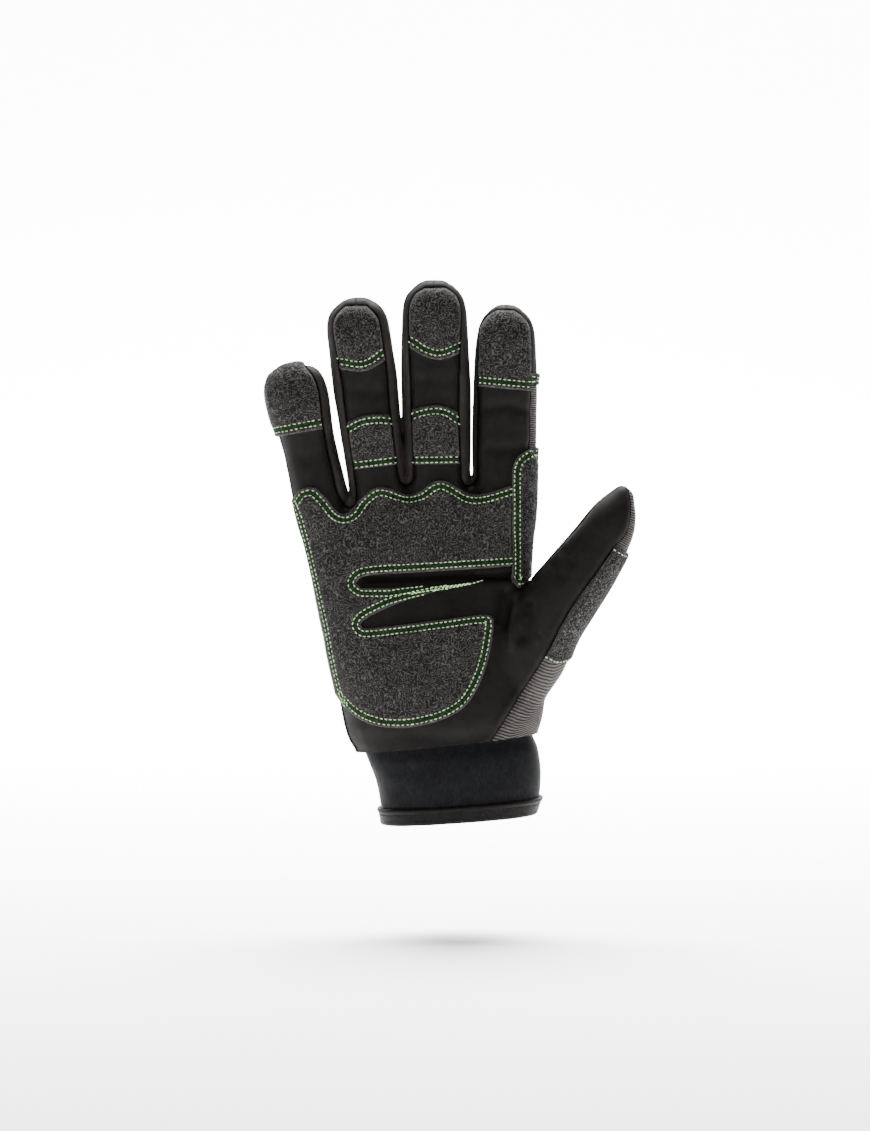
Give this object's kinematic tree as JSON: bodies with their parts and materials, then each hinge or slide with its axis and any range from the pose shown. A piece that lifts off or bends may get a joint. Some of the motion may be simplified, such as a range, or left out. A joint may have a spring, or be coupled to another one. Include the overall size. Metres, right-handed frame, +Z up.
{
  "type": "protective work glove",
  "caption": "Right-hand work glove, shown as worn: dark leather front with textured grip patches, ribbed stretch back and a slip-on neoprene cuff.",
  "frame": {"origin": "centre of the wrist opening, in the plane of the cuff's rim", "axes": "+Z up the fingers, -Y out of the palm, +X towards the thumb"},
  "size_m": [0.1673, 0.0571, 0.2484],
  "materials": {
    "front_leather": "smooth black synthetic leather with a soft sheen and fine grain",
    "side_leather": "black synthetic leather strips, slightly lighter than the front",
    "ribbed_cloth": "warm grey stretch cloth with fine ribs across the fingers",
    "grip_patch": "grey textured reinforcement with short curly raised fibres",
    "neoprene": "bluish black neoprene with a fine knitted face",
    "binding": "brownish black folded binding with a thin bead",
    "thread": "pale green sewing thread in double rows"
  },
  "bodies": {
    "root": {"palm_panel": "front_leather", "back_panel": "ribbed_cloth", "side_strip_pinky_ring": "side_leather", "side_strip_ring_middle": "side_leather", "side_strip_middle_index": "side_leather", "side_strip_index_tip": "side_leather", "palm_patch": "grip_patch", "saddle_patch": "grip_patch", "thumb_patch": "grip_patch", "pinky_tip_patch": "grip_patch", "ring_tip_patch": "grip_patch", "ring_middle_patch": "grip_patch", "middle_tip_patch": "grip_patch", "middle_middle_patch": "grip_patch", "index_tip_patch": "grip_patch", "cuff": "neoprene", "hem_binding": "binding"}
  },
  "joints": []
}
